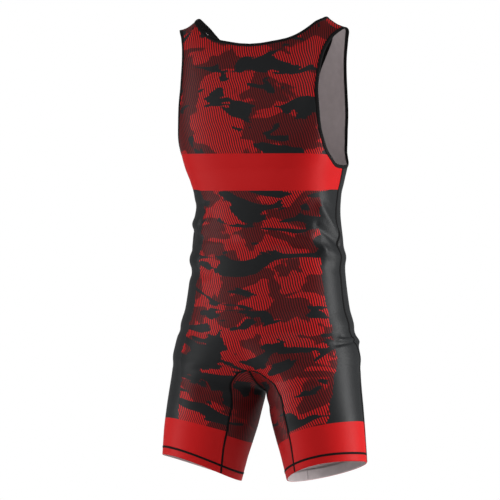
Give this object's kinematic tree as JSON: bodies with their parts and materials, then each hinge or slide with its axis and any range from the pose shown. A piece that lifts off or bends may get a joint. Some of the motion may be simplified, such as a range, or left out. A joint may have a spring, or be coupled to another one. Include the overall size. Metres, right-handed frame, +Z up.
{
  "type": "wrestling singlet",
  "caption": "Sleeveless one-piece wrestling suit with scooped neck, shoulder straps, deep armholes and short legs, standing hollow in its worn shape.",
  "frame": {"origin": "midway between the tops of the two shoulder straps, where the wearer's shoulders hold them", "axes": "+Z up along the trunk, -Y to the garment's front, +X to the wearer's left"},
  "size_m": [0.3909, 0.2094, 0.8346],
  "materials": {
    "printed_cloth": "smooth satin stretch knit, printed",
    "gusset_cloth": "smooth satin stretch knit, printed darker",
    "binding_tape": "black folded stretch tape"
  },
  "bodies": {
    "root": {"back_panel": "printed_cloth", "front_panel": "printed_cloth", "gusset_left": "gusset_cloth", "gusset_right": "gusset_cloth", "neck_binding": "binding_tape", "armhole_binding_left": "binding_tape", "armhole_binding_right": "binding_tape"}
  },
  "joints": []
}
